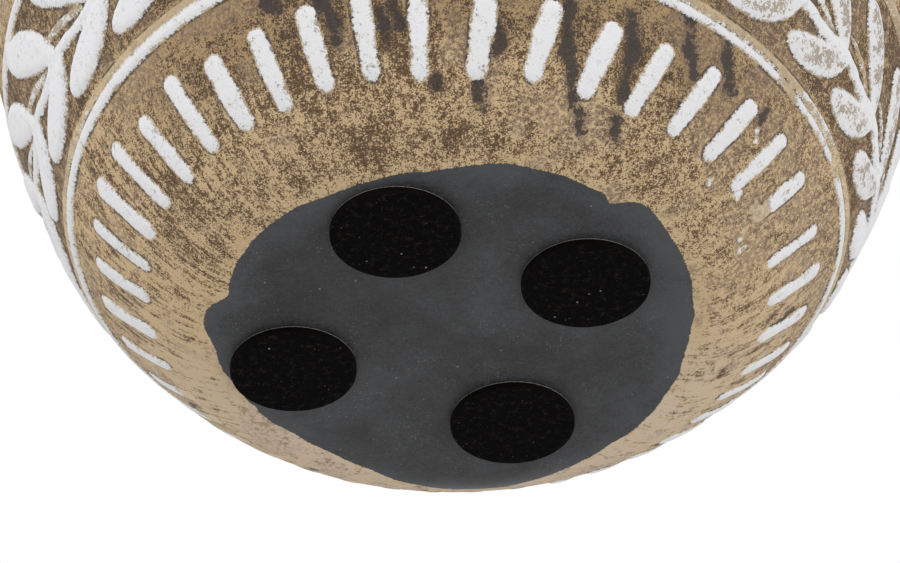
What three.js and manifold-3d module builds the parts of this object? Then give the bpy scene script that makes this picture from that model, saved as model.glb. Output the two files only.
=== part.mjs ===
// Decorative egg: a cast egg with carved relief, cut flat below and standing on round felt pads.
// Millimetres, +Z up, origin on the standing surface below the middle of the egg, -Y is the front.
import * as THREE from 'three';
import { mergeVertices } from 'three/addons/utils/BufferGeometryUtils.js';
import Module from 'manifold-3d';

const wasm = await Module();
wasm.setup();

const { degToRad, smoothstep, clamp } = THREE.MathUtils;

// Egg outline, heights counted up from the flat underside
const EGG_HEIGHT = 180;
const BELLY_RADIUS = 67.5;
const BELLY_HEIGHT = 86;
const UNDERSIDE_RADIUS = 31.4;
const FLARE_REACH = 28.5;
const FLARE_RISE = degToRad(20.5);
const LOWER_BELLY_REACH = 19.4;
const UPPER_BELLY_REACH = 37;
const CROWN_REACH = 35;

// Lean of the hand-finished casting, set in above the underside, towards +X
const LEAN = degToRad(1.3);
const LEAN_HEIGHT = 22;
const AXIS_SHIFT_X = -0.55;
const AXIS_SHIFT_Y = 1.94;

// Felt pads, each set by its turn about the underside and its distance in from the edge
const PAD_RADIUS = 8;
const PAD_THICKNESS = 1;
const GLUE_FILM = 0.1;
const PADS = [
  { turn: -111.6, edgeGap: 2.0 },
  { turn: -31.2, edgeGap: 5.6 },
  { turn: 71.7, edgeGap: 4.3 },
  { turn: 165.0, edgeGap: 1.1 },
];

// The hand-cut pattern rides further up the side towards the front left, more so away from the edge
const PATTERN_RISE = 5;
const PATTERN_RISE_TURN = degToRad(-112);
const PATTERN_RISE_SPREAD = degToRad(64);
const PATTERN_RISE_REACH = 8;
const PATTERN_LEVEL_FROM = 55;
const PATTERN_LEVEL_BY = 110;

// Ring lines, placed by their distance up the side from the underside's edge
const RING_LINE = { at: 24, width: 3.3, height: 0.55, groove: 0.15 };
const BORDER_LINE = { at: 48, width: 2.2, height: 0.5 };

// Upright strokes: uneven stretches of turn, each cut into equal steps
const STROKE = { start: 8.4, length: 10.6, width: 3, height: 0.45 };
const FIRST_STROKE_TURN = -176.5;
const STROKE_STRETCHES = [
  { endTurn: -104, steps: 9 },
  { endTurn: -20.5, steps: 9 },
  { endTurn: 22, steps: 4 },
  { endTurn: 154, steps: 16 },
  { endTurn: 183.5, steps: 3 },
];

// Leaf garland: pairs of leaves that spring from one running stem
const LEAF_PAIRS = 28;
const FIRST_NODE_TURN = -12.8;
const STEM = { at: 34.2, width: 1.9, height: 0.6 };
const UPPER_LEAF = { reach: 13.4, rise: 11.8, width: 6, shoulder: 0.62, bow: 0.5, height: 0.8 };
const LOWER_LEAF = { reach: 11.9, rise: -5.2, width: 5.2, shoulder: 0.6, bow: 0.9, height: 0.8 };

// Plain finish round the crown, placed by the distance down the side from the top
const CROWN_BORDER_DROP = 66;
const CROWN_RING_DROP = 42;
const CROWN_STROKE_DROP = 25;
const CROWN_STROKES = 18;

// Fineness of the facets
const EGG_SEGMENTS = 40;
const EGG_ROW_STEP = 15;
const LEAF_SEGMENTS = 8;
const STROKE_SEGMENTS = 6;
const PAD_SEGMENTS = 20;
const DRUM_RADIUS = 50;
const RELIEF_SINK = 1.4;
const RELIEF_EDGE = 0.6;
const RELIEF_DRAFT = 1.12;

// Finishes
const EGG_COLOUR = '#8a7150';
const FELT_COLOUR = '#0d0b0a';

const UNDERSIDE_Z = PAD_THICKNESS + GLUE_FILM;
const UNDERSIDE_X = -BELLY_HEIGHT * Math.sin(LEAN) - AXIS_SHIFT_X;
const UNDERSIDE_Y = -AXIS_SHIFT_Y;

// The side as a curve of radius and height, from the underside's edge to the top
const flare = new THREE.Vector2(FLARE_REACH * Math.cos(FLARE_RISE), FLARE_REACH * Math.sin(FLARE_RISE));
const side = new THREE.CurvePath();
side.add(new THREE.CubicBezierCurve(
  new THREE.Vector2(UNDERSIDE_RADIUS, 0),
  new THREE.Vector2(UNDERSIDE_RADIUS + flare.x, flare.y),
  new THREE.Vector2(BELLY_RADIUS, BELLY_HEIGHT - LOWER_BELLY_REACH),
  new THREE.Vector2(BELLY_RADIUS, BELLY_HEIGHT),
));
side.add(new THREE.CubicBezierCurve(
  new THREE.Vector2(BELLY_RADIUS, BELLY_HEIGHT),
  new THREE.Vector2(BELLY_RADIUS, BELLY_HEIGHT + UPPER_BELLY_REACH),
  new THREE.Vector2(CROWN_REACH, EGG_HEIGHT),
  new THREE.Vector2(0, EGG_HEIGHT),
));
const SIDE_LENGTH = side.getLength();
const BELLY_UP = side.curves[0].getLength();

// Radius and height of the point a distance up the side, lifted off it; the underside is below nought
function sidePoint(up, lift = 0) {
  if (up < 0) return new THREE.Vector2(UNDERSIDE_RADIUS + up, -lift);
  const share = clamp(up / SIDE_LENGTH, 0, 1);
  const point = side.getPoint(share);
  const along = side.getTangent(share);
  return new THREE.Vector2(point.x + along.y * lift, point.y - along.x * lift);
}

// Leans a point of the upright egg and sets it on its pads; the flat underside stays level
function settle(x, y, z) {
  const set = smoothstep(z, 0, LEAN_HEIGHT);
  const angle = LEAN * set;
  return new THREE.Vector3(
    UNDERSIDE_X + AXIS_SHIFT_X * set + x * Math.cos(angle) + z * Math.sin(angle),
    UNDERSIDE_Y + AXIS_SHIFT_Y * set + y,
    UNDERSIDE_Z + z * Math.cos(angle) - x * Math.sin(angle),
  );
}

// How far the pattern rides up at a place on the side
function patternRise(turn, up) {
  const away = THREE.MathUtils.euclideanModulo(turn - PATTERN_RISE_TURN + Math.PI, 2 * Math.PI) - Math.PI;
  const swell = Math.exp(-((away / PATTERN_RISE_SPREAD) ** 2));
  const gathered = 1 - Math.exp(-Math.max(up, 0) / PATTERN_RISE_REACH);
  return PATTERN_RISE * swell * gathered * (1 - smoothstep(up, PATTERN_LEVEL_FROM, PATTERN_LEVEL_BY));
}

function onEgg(turn, up, lift) {
  const { x: radius, y: height } = sidePoint(up + patternRise(turn, up), lift);
  return settle(radius * Math.cos(turn), radius * Math.sin(turn), height);
}

// Moves every vertex of a geometry by a function of its place
function reshape(geometry, move) {
  const place = geometry.attributes.position;
  const vertex = new THREE.Vector3();
  for (let i = 0; i < place.count; i += 1) {
    vertex.fromBufferAttribute(place, i);
    const moved = move(vertex);
    place.setXYZ(i, moved.x, moved.y, moved.z);
  }
  return geometry;
}

function closedBody(geometry) {
  geometry.deleteAttribute('normal');
  geometry.deleteAttribute('uv');
  const merged = mergeVertices(geometry, 1e-4);
  return new wasm.Manifold(new wasm.Mesh({
    numProp: 3,
    vertProperties: new Float32Array(merged.attributes.position.array),
    triVerts: new Uint32Array(merged.index.array),
  }));
}

// The section of a ring line: a band of two ridges with a groove between, or one ridge
function ringRows({ at, width, height, groove }) {
  const half = width / 2;
  const middle = groove === undefined ? [[at, height]] : [
    [at - half / 2, height],
    [at, groove],
    [at + half / 2, height],
  ];
  return [[at - half, 0], ...middle, [at + half, 0]];
}

// The turned body: plain rows up the side, one of them at the belly, with the ring lines' sections let in.
// It is turned as a drum whose height is the distance up the side, and then drawn over the egg
function turnedBody() {
  const stops = [
    ringRows(RING_LINE),
    ringRows(STEM),
    ringRows(BORDER_LINE),
    [[BELLY_UP, 0]],
    ringRows({ ...BORDER_LINE, at: SIDE_LENGTH - CROWN_BORDER_DROP }),
    ringRows({ ...RING_LINE, at: SIDE_LENGTH - CROWN_RING_DROP }),
    [[SIDE_LENGTH, 0]],
  ];
  const rows = [[-UNDERSIDE_RADIUS, 0], [0, 0]];
  for (const stop of stops) {
    const from = rows.at(-1)[0];
    const gap = stop[0][0] - from;
    const steps = Math.ceil(gap / EGG_ROW_STEP);
    for (let i = 1; i < steps; i += 1) rows.push([from + gap * i / steps, 0]);
    rows.push(...stop);
  }
  const section = rows.map(([up, lift]) => new THREE.Vector2(DRUM_RADIUS + lift, up));
  const drum = new THREE.LatheGeometry(section, EGG_SEGMENTS);
  drum.rotateX(Math.PI / 2);
  const onDrum = ({ x, y, z }) => onEgg(Math.atan2(y, x), z, Math.hypot(x, y) - DRUM_RADIUS);
  return closedBody(reshape(drum, onDrum));
}

// A raised form that hugs the egg, from one place to another, as wide along its length as its outline says
function raised({ from, to, outline, height, segments, bow = 0 }) {
  const middleUp = (from.up + to.up) / 2;
  const radius = sidePoint(middleUp).x;
  const run = new THREE.Vector2((to.turn - from.turn) * radius, to.up - from.up);
  const across = new THREE.Vector2(-run.y, run.x).normalize();
  const blank = new THREE.SphereGeometry(1, segments, 3);
  return closedBody(reshape(blank, ({ x, y, z }) => {
    const reach = Math.hypot(x, z);
    const rim = reach > 0.1;
    const share = rim ? 0.5 - 0.5 * x / reach : 0.5;
    const top = y > 0;
    const half = rim && Math.abs(z) > 1e-6 ? Math.sign(z) * outline(share) * (top ? 1 : RELIEF_DRAFT) : 0;
    const off = half + bow * Math.sin(Math.PI * share);
    const crown = rim ? RELIEF_EDGE * height : height;
    return onEgg(
      THREE.MathUtils.lerp(from.turn, to.turn, share) + off * across.x / radius,
      THREE.MathUtils.lerp(from.up, to.up, share) + off * across.y,
      top ? crown : -RELIEF_SINK,
    );
  }));
}

// Half widths along a form: blunt at both ends, or pointed at the start and round past its shoulder
function bluntOutline(width) {
  return (share) => width / 2 * Math.pow(4 * share * (1 - share), 0.25);
}

function leafOutline(width, shoulder) {
  const sharp = shoulder / (1 - shoulder) * 0.55;
  const full = Math.pow(shoulder, sharp) * Math.pow(1 - shoulder, 0.55);
  return (share) => width / 2 * Math.pow(share, sharp) * Math.pow(1 - share, 0.55) / full;
}

function stroke(turn, start) {
  return raised({
    from: { turn, up: start },
    to: { turn, up: start + STROKE.length },
    outline: bluntOutline(STROKE.width),
    height: STROKE.height,
    segments: STROKE_SEGMENTS,
  });
}

function strokes() {
  const made = [];
  let from = FIRST_STROKE_TURN;
  for (const { endTurn, steps } of STROKE_STRETCHES) {
    for (let i = 0; i < steps; i += 1) {
      made.push(stroke(degToRad(from + (endTurn - from) * i / steps), STROKE.start));
    }
    from = endTurn;
  }
  const crownStart = SIDE_LENGTH - CROWN_STROKE_DROP - STROKE.length;
  for (let i = 0; i < CROWN_STROKES; i += 1) {
    made.push(stroke(2 * Math.PI * i / CROWN_STROKES, crownStart));
  }
  return made;
}

function leaf(node, { reach, rise, width, shoulder, bow, height }) {
  const tipUp = node.up + rise;
  const radius = sidePoint((node.up + tipUp) / 2).x;
  return raised({
    from: node,
    to: { turn: node.turn - reach / radius, up: tipUp },
    outline: leafOutline(width, shoulder),
    height,
    segments: LEAF_SEGMENTS,
    bow: Math.sign(rise) * bow,
  });
}

function garland() {
  const pitch = 2 * Math.PI / LEAF_PAIRS;
  const made = [];
  for (let i = 0; i < LEAF_PAIRS; i += 1) {
    const node = { turn: degToRad(FIRST_NODE_TURN) + pitch * i, up: STEM.at };
    made.push(leaf(node, UPPER_LEAF), leaf(node, LOWER_LEAF));
  }
  return made;
}

function eggGeometry() {
  const carved = [...strokes(), ...garland()].reduce((body, form) => body.add(form), turnedBody());
  const { vertProperties, triVerts } = carved.getMesh();
  const geometry = new THREE.BufferGeometry();
  geometry.setAttribute('position', new THREE.BufferAttribute(vertProperties, 3));
  geometry.setIndex(new THREE.BufferAttribute(triVerts, 1));
  geometry.computeVertexNormals();
  return geometry;
}

function padGeometry() {
  const pad = new THREE.CylinderGeometry(PAD_RADIUS, PAD_RADIUS, PAD_THICKNESS, PAD_SEGMENTS);
  return pad.rotateX(Math.PI / 2);
}

const paintedResin = new THREE.MeshStandardMaterial({ color: EGG_COLOUR, roughness: 0.8, metalness: 0 });
const felt = new THREE.MeshStandardMaterial({ color: FELT_COLOUR, roughness: 1, metalness: 0 });

const decorativeEgg = new THREE.Group();
const egg = new THREE.Mesh(eggGeometry(), paintedResin);
egg.name = 'egg';
decorativeEgg.add(egg);

PADS.forEach(({ turn, edgeGap }, i) => {
  const fromCentre = UNDERSIDE_RADIUS - PAD_RADIUS - edgeGap;
  const pad = new THREE.Mesh(padGeometry(), felt);
  pad.name = `felt_pad_${i + 1}`;
  pad.position.set(
    UNDERSIDE_X + fromCentre * Math.cos(degToRad(turn)),
    UNDERSIDE_Y + fromCentre * Math.sin(degToRad(turn)),
    PAD_THICKNESS / 2,
  );
  decorativeEgg.add(pad);
});

export default decorativeEgg;
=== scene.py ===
"""Dressing of the carved decorative egg and its felt pads: metres, +Z up, -Y is the front."""
import math

import bmesh
import bpy
import numpy as np
from mathutils import Matrix, Vector, noise


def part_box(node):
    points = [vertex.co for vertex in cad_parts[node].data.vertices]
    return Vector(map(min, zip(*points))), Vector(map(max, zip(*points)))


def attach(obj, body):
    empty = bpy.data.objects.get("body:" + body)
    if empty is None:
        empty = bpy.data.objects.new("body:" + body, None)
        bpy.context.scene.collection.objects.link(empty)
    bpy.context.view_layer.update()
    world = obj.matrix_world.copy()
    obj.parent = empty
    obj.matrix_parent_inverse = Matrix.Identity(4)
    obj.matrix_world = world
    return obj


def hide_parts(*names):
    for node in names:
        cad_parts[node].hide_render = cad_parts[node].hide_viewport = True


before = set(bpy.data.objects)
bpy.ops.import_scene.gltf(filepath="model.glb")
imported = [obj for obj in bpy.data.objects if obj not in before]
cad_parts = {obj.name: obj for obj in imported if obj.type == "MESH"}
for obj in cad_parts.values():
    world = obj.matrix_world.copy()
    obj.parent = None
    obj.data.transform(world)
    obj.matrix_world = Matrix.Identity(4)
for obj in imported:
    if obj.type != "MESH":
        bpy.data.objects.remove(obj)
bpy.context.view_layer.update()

# The egg's sizes are kept in millimetres, as in the part, and scaled once
MM = 0.001
EGG_HEIGHT = 180
BELLY_RADIUS = 67.5
BELLY_HEIGHT = 86
UNDERSIDE_RADIUS = 31.4
FLARE_REACH = 28.5
FLARE_RISE = math.radians(20.5)
LOWER_BELLY_REACH = 19.4
UPPER_BELLY_REACH = 37
CROWN_REACH = 35
RIM_ROUND = 1.6

# Lean of the casting and its place on the pads
LEAN = math.radians(1.3)
LEAN_HEIGHT = 22
AXIS_SHIFT = Vector((-0.55, 1.94))
PAD_THICKNESS = 1
UNDERSIDE_Z = PAD_THICKNESS + 0.1
UNDERSIDE_X = -BELLY_HEIGHT * math.sin(LEAN) - AXIS_SHIFT.x
UNDERSIDE_Y = -AXIS_SHIFT.y

# The hand-cut pattern rides further up the side towards the front left, more so away from the edge
PATTERN_RISE = 5
PATTERN_RISE_TURN = math.radians(-112)
PATTERN_RISE_SPREAD = math.radians(64)
PATTERN_RISE_REACH = 8
PATTERN_LEVEL_FROM = 55
PATTERN_LEVEL_BY = 110

# Raised lines round the egg, by their way up the side from the underside's edge
RING_AT = 24.15
RING_RIDGE_GAP = 0.62
RING_LOWER_HALF = 0.74
RING_UPPER_HALF = 0.48
RING_HEIGHT = 0.4
STEM_AT = 34.2
STEM_HALF = 0.85
STEM_SWAY = 0.35
STEM_HEIGHT = 0.5
BORDER_AT = 48
BORDER_HALF = 0.9
BORDER_HEIGHT = 0.4
LINE_EDGE = 0.6

# Wear runs from nought, all the paint left, to one, none left. The ring's paint is broken at two
# turns, and round one turn both its ridges are white and the lower one is thinner
RING_WEAR = 0.14
UPPER_RIDGE_WEAR = 0.9
RING_GAPS = (-34, -15.5)
RING_GAP_SPREAD = 0.04
RING_GAP_WEAR = 0.75
DOUBLE_LINE_TURN = math.radians(-25)
DOUBLE_LINE_SPREAD = math.radians(8)
RING_THINNING = 0.22
RING_THIN_SPREAD = math.radians(32)

# Upright strokes: uneven stretches of turn, each with its end and its count of equal steps
STROKE_START = 8.1
STROKE_LENGTH = 10.1
STROKE_HALF = 1.2
STROKE_HEIGHT = 0.26
STROKE_EDGE = 0.9
STROKE_SLANTS = [(1, 0.9), (2, 0.75)]
STROKE_SLANT_TURN = math.radians(-50)
FIRST_STROKE_TURN = -176.5
STROKE_STRETCHES = [(-95.3, 10), (-66.7, 3), (-21.4, 5), (-8.8, 1), (22.2, 3), (154, 16), (183.5, 3)]
BROKEN_STROKE_TURN = -21.4
BROKEN_BELOW = 11.3
BACK_STROKES_FROM = math.radians(75)
BACK_STROKES_TO = math.radians(160)

# Leaf garland: pairs of leaves that spring from one running stem
LEAF_PAIRS = 28
FIRST_NODE_TURN = math.radians(-12.8)
UPPER_LEAF = dict(start=(-0.4, 0.3), reach=13.4, rise=11.8, width=5.8, shoulder=0.6, bow=0.4)
LOWER_LEAF = dict(start=(0.2, -0.5), reach=11.9, rise=-4.9, width=4.9, shoulder=0.55, bow=-1.0)
TENDRIL = dict(start=(-4.6, 0.9), reach=9.4, rise=2.6, width=1.3, shoulder=0.5, bow=0.3)
LEAF_BLUNTNESS = 0.55
LEAF_POINT_HALF = 0.35
LEAF_TIP_ROUND = 0.3
LEAF_HEIGHT = 0.62
LEAF_EDGE = 1.5
TENDRIL_HEIGHT = 0.35
SMALL_LEAVES_TURN = math.radians(-12)
SMALL_LEAVES_SPREAD = math.radians(26)
SMALL_LEAVES = 0.22
BARE_LEAVES_FROM = math.radians(-42)
BARE_LEAVES_TO = math.radians(8)
BARE_LEAF_WEAR = 0.46

# Plain finish round the crown, by the way down the side from the top
CROWN_BORDER_DROP = 66
CROWN_RING_DROP = 42
CROWN_STROKE_DROP = 25
CROWN_STROKES = 18

# Dark runs of wash: turn at the top and at the foot in degrees, way up of both, half width
RUNS = [
    (-117, -116, 20.8, 19.5, 0.9), (-108.6, -107.6, 19, 13.4, 0.95), (-101, -100, 16, 12, 0.4),
    (-98.5, -98, 18, 14, 0.5), (-93.6, -93, 8, 7, 0.5), (-86.6, -85.4, 7.6, 5.2, 0.55),
    (-84, -83, 17, 11, 0.55), (-73.4, -70, 18.4, 7.6, 0.85), (-68, -66.4, 6.4, 4.6, 0.5),
    (-63.4, -60.6, 19.4, 9.8, 0.9), (-61, -59, 7, 4.6, 0.6), (-55, -51, 23, 16.2, 0.9),
    (-47.6, -44, 22.8, 17.6, 0.9), (-50.6, -50, 12, 9, 0.4), (-35.5, -35, 19, 16, 0.45),
]
BACK_RUNS = 16
RUNS_END_ABOVE = 4.6

# Loose scuffs of white about the broken stroke, given in the same way
SCUFFS = [
    (-34.8, -34.2, 16.4, 14.8, 0.3), (-30, -29, 8.8, 8, 0.4), (-25, -24, 9.8, 8.8, 0.4),
    (-21.8, -20.5, 7.2, 5.6, 0.28), (-18.2, -17.6, 5.9, 4.9, 0.28), (-37.4, -36.6, 7.2, 6.6, 0.3),
]

# The black underside: its painted edge wanders in swells of turn, size and spread, turns in degrees
BLACK_EDGE = 30.6
BLACK_ENDS_BY = 60
BLACK_EDGE_SWELLS = [
    (8, -2.1, 30), (87, 4.2, 20), (130, -1, 20), (172, 0.5, 8), (-174, 1.8, 8), (-164, -0.9, 3),
    (-138, 0.8, 14), (-92, -0.3, 8), (-78, 0.9, 13), (-52, -1.5, 2.4), (-46, 1.1, 7), (-36, 0.5, 6),
]

# Fineness of the mesh: fine rows through the relief and the rim, coarse ones where it is plain
RELIEF_FROM = 4.5
RELIEF_TO = 51
RELIEF_COLUMNS = 800
RELIEF_ROW = 0.49
PLAIN_COLUMNS = 240
PLAIN_ROW = 6
CROWN_ROW = 3
RIM_ROW = 0.75
LINE_ROW = 0.4
STROKE_ROW = 0.8

# The casting's soft lumps, which only sink into the side
LUMP_GRAIN = 0.09
LUMP_DEPTH = 0.06

# What the values for the paint say where no form is near: that its edge is this far off
FAR = 3.0

rng = np.random.RandomState(11)


# The side of the egg: a dense run of points from the underside's middle to the top
def bow_of(start, first, second, end, count=400):
    t = np.linspace(0, 1, count)[:, None]
    weights = ((1 - t) ** 3, 3 * (1 - t) ** 2 * t, 3 * (1 - t) * t ** 2, t ** 3)
    return sum(w * np.array(p, float) for w, p in zip(weights, (start, first, second, end)))


def egg_side():
    edge = (UNDERSIDE_RADIUS, 0)
    flare = (UNDERSIDE_RADIUS + FLARE_REACH * math.cos(FLARE_RISE), FLARE_REACH * math.sin(FLARE_RISE))
    belly = (BELLY_RADIUS, BELLY_HEIGHT)
    below_belly = (BELLY_RADIUS, BELLY_HEIGHT - LOWER_BELLY_REACH)
    above_belly = (BELLY_RADIUS, BELLY_HEIGHT + UPPER_BELLY_REACH)
    lower = bow_of(edge, flare, below_belly, belly)
    upper = bow_of(belly, above_belly, (CROWN_REACH, EGG_HEIGHT), (0, EGG_HEIGHT))
    side = np.vstack([lower, upper[1:]])
    up = np.r_[0, np.cumsum(np.hypot(*np.diff(side, axis=0).T))]
    inner = np.linspace(-UNDERSIDE_RADIUS, 0, 60)[:-1]
    side = np.vstack([np.column_stack([UNDERSIDE_RADIUS + inner, 0 * inner]), side])
    up = np.r_[inner, up]
    rounded = np.tan(FLARE_RISE) * (up + RIM_ROUND) ** 2 / (4 * RIM_ROUND)
    side[:, 1] = np.where(np.abs(up) < RIM_ROUND, rounded, side[:, 1])
    return up, side[:, 0], side[:, 1]


SIDE_UP, SIDE_RADIUS, SIDE_Z = egg_side()
SIDE_LENGTH = SIDE_UP[-1]
CROWN_BORDER_AT = SIDE_LENGTH - CROWN_BORDER_DROP
CROWN_RING_AT = SIDE_LENGTH - CROWN_RING_DROP
CROWN_STROKE_START = SIDE_LENGTH - CROWN_STROKE_DROP - STROKE_LENGTH


def side_radius(up):
    return np.interp(up, SIDE_UP, SIDE_RADIUS)


def half_turn(turn):
    """A turn brought to within half a turn of nought"""
    return (turn + np.pi) % (2 * np.pi) - np.pi


def swell(turn, at, spread, power=2):
    """One at a turn, falling away to nought on both sides of it"""
    return np.exp(-((half_turn(turn - at) / spread) ** power))


def wave(turn, *terms):
    """A slow, uneven swing round the egg from a few waves of count, size and phase"""
    return sum(size * np.cos(count * turn + phase) for count, size, phase in terms)


def eased(value, low, high):
    share = np.clip((value - low) / (high - low), 0, 1)
    return share * share * (3 - 2 * share)


def pattern_rise(turn, up):
    gathered = 1 - np.exp(-np.maximum(up, 0) / PATTERN_RISE_REACH)
    level = 1 - eased(up, PATTERN_LEVEL_FROM, PATTERN_LEVEL_BY)
    return PATTERN_RISE * swell(turn, PATTERN_RISE_TURN, PATTERN_RISE_SPREAD) * gathered * level


def on_egg(turn, up, lift):
    """The place of a point a way up the side, lifted off it, on the leaning egg"""
    up = up + pattern_rise(turn, up)
    step = 0.2
    low = np.clip(up - step, SIDE_UP[0], SIDE_LENGTH)
    high = np.clip(up + step, SIDE_UP[0], SIDE_LENGTH)
    run = side_radius(high) - side_radius(low)
    climb = np.interp(high, SIDE_UP, SIDE_Z) - np.interp(low, SIDE_UP, SIDE_Z)
    length = np.hypot(run, climb)
    radius = side_radius(up) + lift * climb / length
    z = np.interp(up, SIDE_UP, SIDE_Z) - lift * run / length
    x, y = radius * np.cos(turn), radius * np.sin(turn)
    share = eased(z, 0, LEAN_HEIGHT)
    lean = LEAN * share
    return np.column_stack([
        UNDERSIDE_X + AXIS_SHIFT.x * share + x * np.cos(lean) + z * np.sin(lean),
        UNDERSIDE_Y + AXIS_SHIFT.y * share + y,
        UNDERSIDE_Z + z * np.cos(lean) - x * np.sin(lean),
    ])


# Spines: each raised form is a run of rounds, given by turn, way up and half width
def run_of_rounds(start, end, halves, bow=0.0):
    share = np.linspace(0, 1, len(halves))
    radius = side_radius((start[1] + end[1]) / 2)
    run = np.array([(end[0] - start[0]) * radius, end[1] - start[1]])
    across = np.array([-run[1], run[0]]) / np.hypot(*run)
    off = bow * np.sin(np.pi * share)
    return np.column_stack([
        start[0] + (end[0] - start[0]) * share + off * across[0] / radius,
        start[1] + (end[1] - start[1]) * share + off * across[1],
        halves,
    ])


def leaf_spine(node, size, start, reach, rise, width, shoulder, bow):
    """A leaf that is pointed where it springs and round past its shoulder"""
    share = np.linspace(0.02, 0.97, 26)
    sharp = shoulder / (1 - shoulder) * LEAF_BLUNTNESS
    full = shoulder ** sharp * (1 - shoulder) ** LEAF_BLUNTNESS
    length = math.hypot(reach, rise) * size
    halves = width * size / 2 * share ** sharp * (1 - share) ** LEAF_BLUNTNESS / full
    halves = np.minimum(np.maximum(halves, LEAF_POINT_HALF), (1 - share) * length + LEAF_TIP_ROUND)
    radius = side_radius(node[1] + rise / 2)
    root = (node[0] + start[0] / radius, node[1] + start[1])
    tip = (root[0] - reach * size / radius, root[1] + rise * size)
    return run_of_rounds(root, tip, halves, -bow)


def stroke_spine(turn, start, length, half, slant):
    """A stroke with a slight waver in its width, its head a slant aside from its foot"""
    share = np.linspace(0, 1, 9)
    halves = half * (1 + 0.07 * np.sin(7 * share + 40 * turn))
    radius = side_radius(start + length / 2)
    lean = slant / radius / 2
    return run_of_rounds((turn - lean, start + half), (turn + lean, start + length - half), halves)


def run_spine(first, last, top, foot, half):
    """A run of wash or a scuff, which wanders and swells a little on its way down"""
    share = np.linspace(0, 1, 14)
    halves = half * (0.55 + 0.45 * np.sin(5 * share + first) ** 2)
    turn = np.radians(first + (last - first) * share + 0.4 * np.sin(6 * share + first))
    return np.column_stack([turn, top + (foot - top) * share, halves])


class Relief:
    """The raised work and the paint on it, in millimetres, for every vertex of the egg"""

    def __init__(self, turn, up):
        self.turn = turn
        self.up = up
        self.height = np.zeros(len(up))
        self.raised = np.full(len(up), -FAR)
        self.white = np.full(len(up), -FAR)
        self.worn = np.zeros(len(up))
        self.drip = np.full(len(up), -FAR)

    def reach(self, spine):
        """The vertices near a spine, and how far each lies inside its rounds"""
        middle = spine[len(spine) // 2, 0]
        radius = side_radius(spine[:, 1].mean())
        around = half_turn(self.turn - middle) * radius
        x = half_turn(spine[:, 0] - middle) * radius
        near = np.flatnonzero(
            (np.abs(around) < np.abs(x).max() + 2 * FAR)
            & (self.up > spine[:, 1].min() - 2 * FAR) & (self.up < spine[:, 1].max() + 2 * FAR)
        )
        gap = np.hypot(around[near, None] - x, self.up[near, None] - spine[:, 1])
        return near, (spine[:, 2] - gap).max(axis=1)

    def put(self, near, inside, height, edge, paint=0.0, worn=0.0):
        """Raises a form with rounded edges and lays white paint on it"""
        dome = np.sqrt(np.clip(1 - (1 - np.clip(inside / edge, 0, 1)) ** 2, 0, 1))
        self.height[near] = np.maximum(self.height[near], height * dome)
        self.raised[near] = np.maximum(self.raised[near], inside)
        shows = inside + paint > self.white[near]
        self.worn[near] = np.where(shows, worn, self.worn[near])
        self.white[near] = np.maximum(self.white[near], inside + paint)

    def band(self, middle, half, height, paint=0.0, worn=0.0):
        """A raised line all round the egg"""
        everywhere = np.arange(len(self.up))
        self.put(everywhere, half - np.abs(self.up - middle), height, LINE_EDGE, paint, worn)


def carve_lines(relief):
    turn = relief.turn
    ring = RING_AT + wave(turn, (5, 0.1, 1.0), (9, 0.06, 0.2))
    gaps = sum(swell(turn, math.radians(at), RING_GAP_SPREAD) for at in RING_GAPS)
    upper_wear = UPPER_RIDGE_WEAR - 0.6 * swell(turn, DOUBLE_LINE_TURN, DOUBLE_LINE_SPREAD, 4) + 0.6 * gaps
    thin = RING_THINNING * swell(turn, DOUBLE_LINE_TURN, RING_THIN_SPREAD)
    lower_wear = RING_WEAR + 0.5 * thin + RING_GAP_WEAR * gaps
    relief.band(ring - RING_RIDGE_GAP, RING_LOWER_HALF - thin, RING_HEIGHT, 0.0, lower_wear)
    relief.band(ring + RING_RIDGE_GAP + 0.2, RING_UPPER_HALF, RING_HEIGHT, -0.15, upper_wear.clip(0, 0.95))
    relief.band(BORDER_AT, BORDER_HALF, BORDER_HEIGHT, -0.1, 0.5 + wave(turn, (3, 0.25, 0)))
    relief.band(CROWN_BORDER_AT, BORDER_HALF, BORDER_HEIGHT, -0.1, 0.35 + wave(turn, (4, 0.25, 1)))
    relief.band(CROWN_RING_AT - RING_RIDGE_GAP, RING_LOWER_HALF, RING_HEIGHT, 0.0, 0.15)
    relief.band(CROWN_RING_AT + RING_RIDGE_GAP, RING_UPPER_HALF, RING_HEIGHT, 0.0, 0.6)


def lower_stroke_turns():
    """The turns of the strokes below the ring, in degrees, stretch by stretch"""
    start = FIRST_STROKE_TURN
    for end, steps in STROKE_STRETCHES:
        for i in range(steps):
            yield start + (end - start) * i / steps
        start = end


def carve_strokes(relief):
    for degrees in lower_stroke_turns():
        turn = math.radians(degrees)
        slant = sum(size * math.cos(count * (turn - STROKE_SLANT_TURN)) for count, size in STROKE_SLANTS)
        start = STROKE_START + rng.uniform(-0.3, 0.3)
        length = STROKE_LENGTH + rng.uniform(-0.5, 0.5)
        half = STROKE_HALF + rng.uniform(-0.2, 0.2)
        near, inside = relief.reach(stroke_spine(turn, start, length, half, slant))
        worn = rng.uniform(0.06, 0.2)
        height = STROKE_HEIGHT
        if BACK_STROKES_FROM < turn < BACK_STROKES_TO:
            height = STROKE_HEIGHT / 3
            worn = worn + 0.7 * (1 - eased(relief.up[near], STROKE_START + 1.5, STROKE_START + 4))
        if abs(degrees - BROKEN_STROKE_TURN) < 1:
            worn = 0.2 + 0.7 * (1 - eased(relief.up[near], BROKEN_BELOW - 1, BROKEN_BELOW + 0.5))
        relief.put(near, inside, height, STROKE_EDGE, 0.0, worn)


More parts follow.
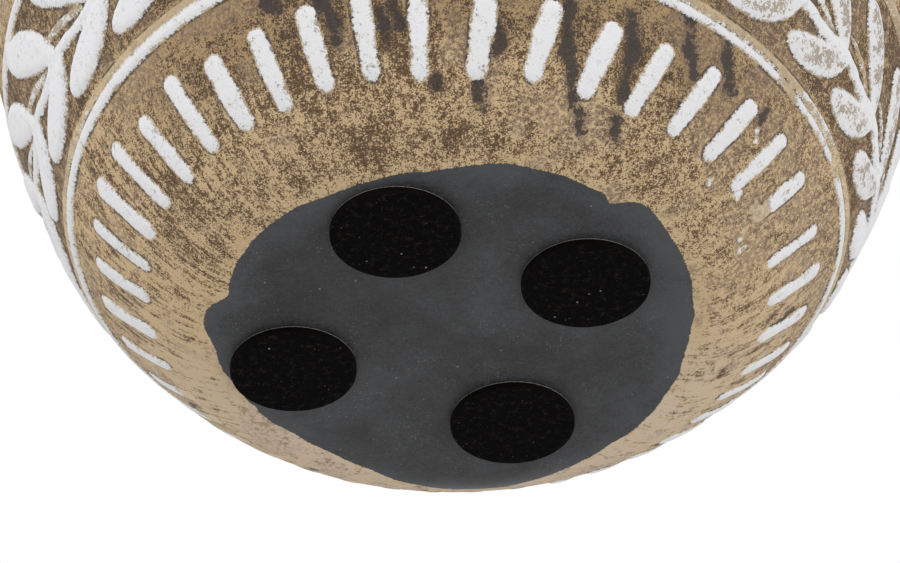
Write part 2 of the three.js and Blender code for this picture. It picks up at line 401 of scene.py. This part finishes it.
def carve_crown_strokes(relief):
    for i in range(CROWN_STROKES):
        turn = 2 * math.pi * i / CROWN_STROKES
        start = CROWN_STROKE_START + rng.uniform(-0.3, 0.3)
        length = STROKE_LENGTH + rng.uniform(-0.5, 0.5)
        slant = rng.uniform(-0.4, 0.4)
        near, inside = relief.reach(stroke_spine(turn, start, length, STROKE_HALF, slant))
        relief.put(near, inside, STROKE_HEIGHT, STROKE_EDGE, 0.0, rng.uniform(0.02, 0.2))


def carve_garland(relief):
    pitch = 2 * math.pi / LEAF_PAIRS
    along = half_turn(relief.turn - FIRST_NODE_TURN) / pitch
    share = along - np.floor(along)
    relief.band(STEM_AT + STEM_SWAY * np.cos(2 * np.pi * share), STEM_HALF, STEM_HEIGHT, 0.0, 0.08)
    for i in range(LEAF_PAIRS):
        turn = half_turn(FIRST_NODE_TURN + pitch * i)
        node = (turn, STEM_AT)
        small = SMALL_LEAVES * swell(turn, SMALL_LEAVES_TURN, SMALL_LEAVES_SPREAD)
        bare = BARE_LEAVES_FROM < turn < BARE_LEAVES_TO
        for kind, form in (("tendril", TENDRIL), ("lower", LOWER_LEAF), ("upper", UPPER_LEAF)):
            size = rng.uniform(0.96, 1.04) - (small if kind != "lower" else small / 3)
            near, inside = relief.reach(leaf_spine(node, size, **form))
            if kind == "tendril":
                relief.put(near, inside, TENDRIL_HEIGHT, LINE_EDGE, -0.1, rng.uniform(0.35, 0.75))
            else:
                rubbed = BARE_LEAF_WEAR * np.clip(inside / 1.2, 0, 1) if bare else 0
                relief.put(near, inside, LEAF_HEIGHT, LEAF_EDGE, 0.0, rng.uniform(0.0, 0.1) + rubbed)


def run_wash(relief):
    runs = list(RUNS)
    for i in range(BACK_RUNS):
        top = rng.uniform(11, 23)
        turn = rng.uniform(5, 170)
        foot = max(top - rng.uniform(1, 9), RUNS_END_ABOVE)
        runs.append((turn, turn + rng.uniform(-2, 2), top, foot, rng.uniform(0.25, 0.6)))
    for run in runs:
        near, inside = relief.reach(run_spine(*run))
        relief.drip[near] = np.maximum(relief.drip[near], inside)


def scuff_paint(relief):
    for scuff in SCUFFS:
        near, inside = relief.reach(run_spine(*scuff))
        relief.white[near] = np.maximum(relief.white[near], inside)


def black_edge(turn):
    edge = BLACK_EDGE + wave(turn, (17, 0.08, 0.4), (29, 0.06, 2.0))
    for at, size, spread in BLACK_EDGE_SWELLS:
        edge += size * swell(turn, math.radians(at), math.radians(spread))
    return edge


# The egg before it is wrapped: drums of radius one whose height is the way up the side
def rows(start, *stretches):
    """Places from a start through stretches, each given by its end and its longest step"""
    places = [start]
    for end, step in stretches:
        count = math.ceil((end - places[-1]) / step)
        places += list(np.linspace(places[-1], end, count + 1)[1:])
    return places


def drum(bm, columns, places):
    """A sheet rolled up with its seam closed, its rows at the places given"""
    steps = len(places) - 1
    sheet = bmesh.ops.create_grid(bm, x_segments=columns, y_segments=steps, size=1)["verts"]
    for vertex in sheet:
        turn = math.pi * vertex.co.x
        row = round((vertex.co.y + 1) / 2 * steps)
        vertex.co = (math.cos(turn), math.sin(turn), places[row])
    bmesh.ops.remove_doubles(bm, verts=sheet, dist=0.0005)


def join_drums(bm, low, high):
    def between(vertex):
        return low - 0.01 < vertex.co.z < high + 0.01
    rims = [edge for edge in bm.edges if edge.is_boundary and all(between(v) for v in edge.verts)]
    bmesh.ops.bridge_loops(bm, edges=rims)


def close_pole(bm, up):
    ring = [v for v in bm.verts if abs(v.co.z - up) < 0.001]
    bmesh.ops.pointmerge(bm, verts=ring, merge_co=(0, 0, up))


def unwrapped_egg():
    lower = rows(-UNDERSIDE_RADIUS, (-6, 5), (3, RIM_ROW), (RELIEF_FROM - 0.5, 1))
    carved = rows(RELIEF_FROM, (RELIEF_TO, RELIEF_ROW))
    upper = rows(
        RELIEF_TO + 0.5,
        (CROWN_BORDER_AT - 1.5, PLAIN_ROW), (CROWN_BORDER_AT + 1.5, LINE_ROW),
        (CROWN_RING_AT - 2, PLAIN_ROW), (CROWN_RING_AT + 2, LINE_ROW),
        (CROWN_STROKE_START - 1, CROWN_ROW), (CROWN_STROKE_START + STROKE_LENGTH + 1, STROKE_ROW),
        (SIDE_LENGTH, CROWN_ROW),
    )
    bm = bmesh.new()
    drum(bm, PLAIN_COLUMNS, lower)
    drum(bm, RELIEF_COLUMNS, carved)
    drum(bm, PLAIN_COLUMNS, upper)
    join_drums(bm, lower[-1], carved[0])
    join_drums(bm, carved[-1], upper[0])
    close_pole(bm, lower[0])
    close_pole(bm, upper[-1])
    bmesh.ops.recalc_face_normals(bm, faces=bm.faces)
    return bm


def piece_of(name, bm, node, finish):
    """Turns a bmesh into a smooth piece that stands for a node of the frame"""
    mesh = bpy.data.meshes.new(name)
    bm.to_mesh(mesh)
    bm.free()
    mesh.shade_smooth()
    piece = bpy.data.objects.new(name, mesh)
    bpy.context.scene.collection.objects.link(piece)
    piece.data.materials.append(finish)
    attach(piece, "root")
    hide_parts(node)
    return piece


def places_of(mesh):
    """The places of a mesh's vertices, one row for each"""
    flat = np.empty(len(mesh.vertices) * 3, np.float32)
    mesh.vertices.foreach_get("co", flat)
    return flat.reshape(-1, 3)


def keep(mesh, name, values):
    """Keeps a value for each vertex, which the finish reads by its name"""
    mesh.attributes.new(name, "FLOAT", "POINT").data.foreach_set("value", np.asarray(values, np.float32))


def carved_egg():
    piece = piece_of("carved_egg", unwrapped_egg(), "egg", painted_resin())
    mesh = piece.data
    flat = places_of(mesh).astype(float)
    turn, up = np.arctan2(flat[:, 1], flat[:, 0]), flat[:, 2]
    relief = Relief(turn, up)
    carve_strokes(relief)
    carve_crown_strokes(relief)
    carve_lines(relief)
    carve_garland(relief)
    run_wash(relief)
    scuff_paint(relief)
    rest = on_egg(turn, up, 0)
    lumps = np.array([noise.fractal(Vector(p) * LUMP_GRAIN, 0.8, 2.0, 3) for p in rest])
    hollows = LUMP_DEPTH * (np.clip(lumps, -1, 1) - 1.3) * eased(up, 2, 8)
    places = on_egg(turn, up, relief.height + hollows) * MM
    mesh.vertices.foreach_set("co", places.astype(np.float32).ravel())
    for name in ("raised", "white", "worn", "drip"):
        keep(mesh, name, getattr(relief, name))
    keep(mesh, "way_up", up)
    reach = np.where(up < BLACK_ENDS_BY, side_radius(up + pattern_rise(turn, up)), BELLY_RADIUS)
    keep(mesh, "past_black", reach - black_edge(turn))
    mesh.update()
    return piece


# Felt pads: cut discs with soft edges, pressed a little into the paint of the underside
PAD_SIDES = 96
PAD_PRESSED_IN = 0.03
PAD_EDGE_ROUND = 0.22
PAD_FACE_RINGS = (1.5, 2, 2)
FUZZ_GRAIN = 2500
FUZZ_DEPTH = 0.035


def felt_pad(node, finish):
    low, high = (Vector(corner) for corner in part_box(node))
    middle = (low + high) / 2
    radius = (high.x - low.x) / 2
    height = (UNDERSIDE_Z + PAD_PRESSED_IN) * MM
    bm = bmesh.new()
    bmesh.ops.create_cone(bm, cap_ends=True, cap_tris=False, segments=PAD_SIDES,
                          radius1=radius, radius2=radius, depth=height)
    rims = [e for e in bm.edges if abs(e.verts[0].co.z - e.verts[1].co.z) < 1e-6]
    bmesh.ops.bevel(bm, geom=rims, offset=PAD_EDGE_ROUND * MM, offset_type="OFFSET", segments=3,
                    profile=0.5, affect="EDGES", material=-1)
    caps = [f for f in bm.faces if abs(f.normal.z) > 0.99]
    for ring in PAD_FACE_RINGS:
        bmesh.ops.inset_region(bm, faces=caps, thickness=ring * MM, use_even_offset=True)
    bmesh.ops.translate(bm, verts=bm.verts, vec=(middle.x, middle.y, height / 2))
    bmesh.ops.recalc_face_normals(bm, faces=bm.faces)
    for vertex in bm.verts:
        fuzz = noise.noise(vertex.co * FUZZ_GRAIN) * FUZZ_DEPTH * MM
        out = Vector((vertex.co.x - middle.x, vertex.co.y - middle.y, 0))
        if out.length > radius * 0.97:
            vertex.co -= out.normalized() * abs(fuzz)
    piece = piece_of(node.replace("felt", "cut_felt"), bm, node, finish)
    places = places_of(piece.data)
    keep(piece.data, "from_rim", (radius - np.hypot(places[:, 0] - middle.x, places[:, 1] - middle.y)) / MM)
    return piece


# Shader sums
class Wire:
    """A socket that sums are written with: each operator adds its Math node"""

    def __init__(self, finish, socket):
        self.finish = finish
        self.socket = socket

    def reckon(self, operation, *terms):
        return self.finish.node("ShaderNodeMath", {"operation": operation}, dict(enumerate(terms)))

    def __add__(self, other):
        return self.reckon("ADD", self, other)

    def __radd__(self, other):
        return self.reckon("ADD", other, self)

    def __sub__(self, other):
        return self.reckon("SUBTRACT", self, other)

    def __rsub__(self, other):
        return self.reckon("SUBTRACT", other, self)

    def __mul__(self, other):
        return self.reckon("MULTIPLY", self, other)

    def __rmul__(self, other):
        return self.reckon("MULTIPLY", other, self)

    def __truediv__(self, other):
        return self.reckon("DIVIDE", self, other)

    def __or__(self, other):
        return self.reckon("MAXIMUM", self, other)

    def root(self):
        return self.reckon("SQRT", self)

    def outlet(self, out):
        """Another outlet of the same node"""
        return Wire(self.finish, self.socket.node.outputs[out])

    def ease(self, low, high):
        """Nought below one value, one above the other, and smooth between"""
        return self.finish.node(
            "ShaderNodeMapRange", {"interpolation_type": "SMOOTHSTEP"},
            {"Value": self, "From Min": low, "From Max": high, "To Min": 0.0, "To Max": 1.0},
        )


class Finish:
    """A material built node by node"""

    def __init__(self, name):
        self.material = bpy.data.materials.new(name)
        self.material.use_nodes = True
        self.tree = self.material.node_tree
        self.tree.nodes.clear()
        self.place = self.node("ShaderNodeTexCoord", out="Object")

    def node(self, kind, settings=None, sockets=None, out=0):
        node = self.tree.nodes.new(kind)
        for name, value in (settings or {}).items():
            setattr(node, name, value)
        for name, value in (sockets or {}).items():
            if isinstance(value, Wire):
                self.tree.links.new(value.socket, node.inputs[name])
            else:
                node.inputs[name].default_value = value
        return Wire(self, node.outputs[out])

    def kept(self, name):
        """A value kept for each vertex"""
        return self.node("ShaderNodeAttribute", {"attribute_name": name}, out="Fac")

    def grain(self, scale, detail=2.0, roughness=0.5, place=None):
        return self.node("ShaderNodeTexNoise", {}, {
            "Vector": place or self.place, "Scale": scale, "Detail": detail, "Roughness": roughness,
        })

    def blend(self, share, under, over):
        return self.node("ShaderNodeMix", {"data_type": "RGBA"}, {0: share, 6: under, 7: over}, out=2)

    def specks(self, scale, size, share):
        """Scattered dots: one for some of the cells of a cell pattern"""
        cells = {"Vector": self.place, "Scale": scale}
        gap = self.node("ShaderNodeTexVoronoi", {}, cells)
        tint = self.node("ShaderNodeTexVoronoi", {}, cells, out="Color")
        pick = self.node("ShaderNodeSeparateColor", {}, {0: tint})
        return (size - gap).ease(0, size * 0.6) * pick.ease(1 - share, 1 - share + 0.01)

    def bumped(self, strength, height):
        sockets = {"Strength": strength, "Distance": BUMP_DEPTH, "Height": height}
        return self.node("ShaderNodeBump", {}, sockets)

    def cover(self, skin):
        """Leads a shader to the surface"""
        out = self.tree.nodes.new("ShaderNodeOutputMaterial")
        self.tree.links.new(skin.socket, out.inputs["Surface"])

    def done(self, **surface):
        sockets = {name.replace("_", " "): value for name, value in surface.items()}
        self.cover(self.node("ShaderNodeBsdfPrincipled", {}, sockets))
        return self.material


def shade(red, green, blue):
    """A colour seen on the object, 0 to 255, as the shader takes it"""
    def straight(value):
        value /= 255
        return value / 12.92 if value <= 0.04045 else ((value + 0.055) / 1.055) ** 2.4
    return (straight(red), straight(green), straight(blue), 1.0)


WASH = shade(82, 63, 44)
BROWN = shade(128, 105, 78)
TAN = shade(184, 160, 124)
DEEP_TAN = shade(152, 128, 92)
DEEP_WASH = shade(68, 54, 40)
# Pale haze of painted light over the far lower side
PALE_HAZE = shade(187, 172, 155)
MAUVE = shade(110, 92, 78)
WHITE_PAINT = shade(212, 212, 214)
GREYED_WHITE = shade(190, 190, 191)
THIN_WHITE = shade(156, 148, 141)
# Cream edge round the white: rubbed paint, and partly a painted highlight on the relief's lit flank
CREAM_AND_FLANK_HIGHLIGHT = shade(206, 190, 160)
# Dark wash of the runs, also used for the painted shade in the corners beside the relief
RUN_AND_SHADE = shade(42, 36, 35)
BLACK_PAINT = shade(32, 32, 33)
# Paler black of brush marks and dust, also the painted highlight along the underside's rounded edge
BLACK_DUSTED_AND_EDGE_LIT = shade(64, 65, 67)
DUST = shade(140, 138, 134)
FELT_DEEP = shade(5, 4, 4)
FELT_NAP = shade(34, 29, 25)
FELT_SIDE = shade(13, 11, 10)
# Pale line at the felt's cut edge, partly painted highlight
FELT_CUT_AND_HIGHLIGHT = shade(150, 147, 142)

# Grains of the paint from fine to broad, in cells to the metre
DOT_GRAIN = 5200
FLECK_GRAIN = 2000
STREAK_GRAIN = 1500
TOOTH_GRAIN = 900
CLUMP_GRAIN = 620
PATCH_GRAIN = 150
BRUSHED_BLACK_GRAIN = 60
BROAD_GRAIN = 36

# Brush streaks: how fine they are round the egg and how far they are drawn out up its side
STREAK_REACH = 0.05
STREAK_DRAW = 0.16

# Depth of the tooth of the paint and of the felt's nap
BUMP_DEPTH = 0.2 * MM


class EggPaint(Finish):
    """The egg's coats of paint, from one set of grains and the values kept on its vertices"""

    def __init__(self):
        super().__init__("painted_resin")
        self.way_up = self.kept("way_up")
        self.raised = self.kept("raised")
        self.white = self.kept("white")
        self.worn = self.kept("worn")
        self.drip = self.kept("drip")
        self.past_black = self.kept("past_black")
        self.dot = self.grain(DOT_GRAIN, 1.0, 0.5) - 0.5
        self.fleck = self.grain(FLECK_GRAIN, 2.0, 0.65) - 0.5
        self.clump = self.grain(CLUMP_GRAIN, 2.0, 0.6) - 0.5
        self.patch = self.grain(PATCH_GRAIN, 2.0, 0.6) - 0.5
        self.broad = self.grain(BROAD_GRAIN, 2.0, 0.5) - 0.5
        x = self.node("ShaderNodeSeparateXYZ", {}, {0: self.place})
        y, z = x.outlet(1), x.outlet(2)
        reach = (x * x + y * y).root()
        self.rightward = x / reach
        self.backward = y / reach
        brushed = self.node("ShaderNodeCombineXYZ", {}, {
            0: self.rightward * STREAK_REACH, 1: self.backward * STREAK_REACH, 2: z * STREAK_DRAW,
        })
        self.streak = self.grain(STREAK_GRAIN, 3.0, 0.6, place=brushed) - 0.5

    def ground(self):
        """Dark wash and brown, with tan rubbed over in flecks and streaks, most of all near the foot, and a
        pale haze of painted light over the far lower side
        """
        foot = 1 - self.past_black.ease(0.0, 12.0)
        rim = 1 - self.past_black.ease(0.2, 2.6)
        lower = 1 - self.way_up.ease(10, 24)
        calm = self.backward.ease(-0.75, 0.5) * lower
        back = self.backward.ease(-0.25, 0.6) * lower
        left = 1 - self.rightward.ease(-0.95, -0.35)
        right = self.rightward.ease(0.3, 0.8)
        front = 1 - self.backward.ease(-0.85, -0.35)
        between_strokes = self.way_up.ease(7.5, 10.5) * (1 - self.way_up.ease(20, 23))
        behind_leaves = self.way_up.ease(25.5, 26.5) * (1 - self.way_up.ease(46.5, 48.5)) * (1 - right * 0.25)
        rub = (self.dot * 3.3 + self.fleck * 2.5) * (1 - calm * 0.6)
        rub = rub + self.clump * 1.9 + self.patch * 1.3 + self.broad * 1.2
        rub = rub + self.streak * (0.9 + calm * 1.7 + left * 1.5)
        rub = rub + foot * 0.08 + calm * 0.38 + rim * 0.24 + left * 0.2
        rub = rub + self.raised.ease(-0.7, 0.15) * 0.25 - behind_leaves * 0.52 - between_strokes * 0.12
        deep = (self.way_up.ease(9, 16) * front) | (behind_leaves * 0.6)
        colour = self.blend(rub.ease(-0.5, -0.14), self.blend(deep, WASH, DEEP_WASH), BROWN)
        colour = self.blend(rub.ease(0.0, 0.24), colour, self.blend(deep, TAN, DEEP_TAN))
        dull = (self.patch + self.broad * 0.7).ease(0.03, 0.13) * (1 - self.fleck.ease(0.0, 0.1))
        colour = self.blend(dull * 0.55, colour, MAUVE)
        # Painted light: a pale haze over the far lower side, as light from the backdrop would give
        pale_haze_painted_light = back * (0.3 + foot * 0.4) * (self.fleck + self.clump + 0.5).ease(0.3, 0.52)
        return self.blend(pale_haze_painted_light, colour, PALE_HAZE)

    def dark_runs(self):
        """Where wash has run down the side"""
        return (self.drip * 0.8 + self.dot * 0.9 + self.fleck * 2.2 + self.clump * 2.2).ease(-0.12, -0.02)

    def crevice_wash_and_shade(self):
        """Wash in the corner beside a raised form, in some places only: partly dark wash, partly painted
        shade
        """
        beside = self.raised + self.dot * 0.4 + self.fleck * 0.5
        corner = beside.ease(-0.4, -0.24) * (1 - beside.ease(-0.04, 0.06))
        return corner * (self.clump + self.patch + 0.5).ease(0.46, 0.56)

    def white_laid(self):
        """Where white paint was laid, with ragged edges"""
        return (self.white + self.dot * 0.6 + self.fleck * 0.7 + self.clump * 0.6).ease(-0.1, 0.2)

    def white_left(self):
        """Where the rubbing has left the white paint"""
        return (self.dot * 0.9 + self.fleck * 1.5 + self.clump * 1.6 + 0.74 - self.worn * 1.3).ease(0.0, 0.12)

    def mottled_white(self):
        mottle = (self.dot + self.fleck * 1.2 + self.clump + 0.5).ease(0.12, 0.42)
        return self.blend(mottle, GREYED_WHITE, WHITE_PAINT)

    def black_laid(self):
        edge = self.past_black + self.dot * 0.25 + self.fleck * 0.3 + self.clump * 0.35
        return 1 - edge.ease(-0.05, 0.05)

    def dusty_black_with_lit_edge(self):
        """Brushed black with fine dust, paler where it turns up at its edge, that paleness a painted
        highlight where the rounded edge catches the light
        """
        # The paleness towards the edge is a painted highlight on the rounded edge; the rest is brush marks
        brushed = self.grain(BRUSHED_BLACK_GRAIN, 3, 0.6) + self.past_black.ease(-5, 0) * 0.25
        brushed = brushed + self.dot * 0.5 + self.fleck * 0.6 + self.clump * 0.3
        black_with_edge_highlight = self.blend(brushed.ease(0.2, 0.95), BLACK_PAINT, BLACK_DUSTED_AND_EDGE_LIT)
        fine_dust = self.specks(2400, 0.34, 0.3) * self.patch.ease(-0.1, 0.2) * 0.35
        crumbs = self.specks(900, 0.16, 0.05) * 0.6
        return self.blend(fine_dust | crumbs, black_with_edge_highlight, DUST)


def painted_resin():
    """Brown ground with rubbed tan flecks, white paint on the relief, and a black underside"""
    f = EggPaint()
    runs, corner_wash_and_shade = f.dark_runs(), f.crevice_wash_and_shade()
    laid, black = f.white_laid(), f.black_laid()
    white = laid * f.white_left()
    colour = f.blend(runs * 0.92, f.ground(), RUN_AND_SHADE)
    # Painted shade and dark wash in the corners beside the relief
    colour = f.blend(corner_wash_and_shade * 0.75, colour, RUN_AND_SHADE)
    # A cream edge just outside the white: rubbed paint, partly a painted highlight on the relief's flank
    colour = f.blend(f.white.ease(-0.22, -0.02) * (1 - corner_wash_and_shade) * 0.4, colour, CREAM_AND_FLANK_HIGHLIGHT)
    colour = f.blend(laid * (1 - f.worn.ease(0.56, 0.7)) * 0.6, colour, THIN_WHITE)
    colour = f.blend(white * (1 - f.worn * 0.35), colour, f.mottled_white())
    # Black underside, with a painted highlight along its rounded edge
    colour = f.blend(black, colour, f.dusty_black_with_lit_edge())
    tooth = f.grain(TOOTH_GRAIN, 4.0, 0.6) + f.dot * 0.5 + f.streak * 0.3
    normal = f.bumped(0.5, tooth * (1 - black * 0.8) + white * 0.3)
    rough = 0.8 + f.fleck * 0.3 - black * 0.25 - runs * 0.2
    return f.done(Base_Color=colour, Roughness=rough, Normal=normal, Specular_IOR_Level=0.3)


def cut_felt():
    """Black felt with fuzz and lint, and a pale line where its cut side meets the underside, partly the cut
    edge and partly a painted highlight
    """
    f = Finish("cut_felt")
    fuzz = f.grain(3500, 3.0, 0.7)
    tufts = fuzz + f.grain(1100, 2.0, 0.6)
    lint = f.specks(2200, 0.22, 0.03) * 0.4 | f.specks(700, 0.12, 0.07) * 0.8
    height = f.node("ShaderNodeSeparateXYZ", {}, {0: f.place}, out=2)
    side = 1 - f.kept("from_rim").ease(0.05, 0.2)
    # A pale line near the top of the side: the cut edge, partly a painted highlight
    seam_and_edge_highlight = height.ease(0.84 * MM, 0.93 * MM) * fuzz.ease(0.25, 0.5)
    colour = f.blend(tufts.ease(1.02, 1.36), FELT_DEEP, FELT_NAP)
    colour = f.blend(lint, colour, DUST)
    colour = f.blend(side * 0.8, colour, FELT_SIDE)
    colour = f.blend(side * seam_and_edge_highlight * 0.85, colour, FELT_CUT_AND_HIGHLIGHT)
    return f.done(Base_Color=colour, Roughness=1.0, Normal=f.bumped(0.8, fuzz), Specular_IOR_Level=0.05)


carved_egg()
felt = cut_felt()
for i in range(4):
    felt_pad(f"felt_pad_{i + 1}", felt)


# Camera: below the front of the egg, looking up at its underside
CAMERA_DIP = math.radians(40.16)
CAMERA_ROLL = math.radians(-1.8)
CAMERA_DISTANCE = 478.3 * MM
CAMERA_LOOKS_AT = Vector((UNDERSIDE_X - 1.46, UNDERSIDE_Y - 11.05, 0)) * MM
FOCAL_PIXELS = 3900
PICTURE_WIDTH = 900
SENSOR_WIDTH = 36

ahead = Vector((0, math.cos(CAMERA_DIP), math.sin(CAMERA_DIP)))
above = (Vector((0, 0, 1)) - ahead * ahead.z).normalized()
aside = ahead.cross(above)
right = aside * math.cos(CAMERA_ROLL) + above * math.sin(CAMERA_ROLL)
top = above * math.cos(CAMERA_ROLL) - aside * math.sin(CAMERA_ROLL)
camera = bpy.data.objects.new("camera", bpy.data.cameras.new("camera"))
bpy.context.scene.collection.objects.link(camera)
camera.matrix_world = Matrix.Translation(CAMERA_LOOKS_AT - ahead * CAMERA_DISTANCE) @ Matrix(
    [[right[i], top[i], -ahead[i], 0] for i in range(3)] + [[0, 0, 0, 1]]
)
camera.data.sensor_width = SENSOR_WIDTH
camera.data.lens = SENSOR_WIDTH * FOCAL_PIXELS / PICTURE_WIDTH
camera.data.clip_start = 0.01
camera.data.clip_end = 50
bpy.context.scene.camera = camera

# Soft lamps about the view: across it, up it and back to the camera, then distance, size and watts
LAMPS = {
    "key": (-0.55, 0.8, 0.5, 0.9, 0.6, 4),
    "fill": (0.8, 0.1, 0.6, 1.1, 0.8, 4.5),
    "left flank": (-0.9, -0.5, 0.15, 1.1, 0.8, 2.6),
    "right flank": (1.0, -0.3, 0.2, 1.1, 0.8, 1.5),
}
LAMPS_AIM_AT = Vector((0, 0, 60)) * MM
ROOM_LIGHT = 0.76
FLOOR_HALF = 1.5


def pale_floor():
    """A floor that shows from above only, so that it doesn't hide the egg from a camera below it"""
    bm = bmesh.new()
    bmesh.ops.create_grid(bm, x_segments=2, y_segments=2, size=FLOOR_HALF)
    mesh = bpy.data.meshes.new("floor")
    bm.to_mesh(mesh)
    bm.free()
    floor = bpy.data.objects.new("floor", mesh)
    bpy.context.scene.collection.objects.link(floor)
    f = Finish("pale_floor")
    tone = f.blend(f.grain(3), shade(232, 231, 229), shade(238, 237, 235))
    matt = f.node("ShaderNodeBsdfDiffuse", {}, {"Color": tone})
    clear = f.node("ShaderNodeBsdfTransparent")
    behind = f.node("ShaderNodeNewGeometry", out="Backfacing")
    f.cover(f.node("ShaderNodeMixShader", {}, {0: behind, 1: matt, 2: clear}))
    floor.data.materials.append(f.material)
    floor.visible_diffuse = False
    floor.visible_glossy = False
    floor.visible_shadow = False


def soft_lamp(name, direction, distance, size, watts):
    lamp = bpy.data.objects.new(name, bpy.data.lights.new(name, "AREA"))
    bpy.context.scene.collection.objects.link(lamp)
    lamp.data.size = size
    lamp.data.energy = watts
    towards = direction.normalized()
    lamp.location = towards * distance + LAMPS_AIM_AT
    lamp.rotation_euler = towards.to_track_quat("Z", "Y").to_euler()


def studio_light():
    """Even white light from all round, before a plain white backdrop"""
    world = bpy.data.worlds.new("studio")
    bpy.context.scene.world = world
    world.use_nodes = True
    tree = world.node_tree
    tree.nodes.clear()
    room = tree.nodes.new("ShaderNodeBackground")
    room.inputs["Strength"].default_value = ROOM_LIGHT
    backdrop = tree.nodes.new("ShaderNodeBackground")
    path = tree.nodes.new("ShaderNodeLightPath")
    mix = tree.nodes.new("ShaderNodeMixShader")
    out = tree.nodes.new("ShaderNodeOutputWorld")
    for background in (room, backdrop):
        background.inputs["Color"].default_value = (1, 1, 1, 1)
    tree.links.new(path.outputs["Is Camera Ray"], mix.inputs[0])
    tree.links.new(room.outputs[0], mix.inputs[1])
    tree.links.new(backdrop.outputs[0], mix.inputs[2])
    tree.links.new(mix.outputs[0], out.inputs["Surface"])


pale_floor()
studio_light()
for name, (across, up, back, distance, size, watts) in LAMPS.items():
    soft_lamp(name, right * across + top * up - ahead * back, distance, size, watts)
bpy.context.scene.view_settings.view_transform = "Standard"
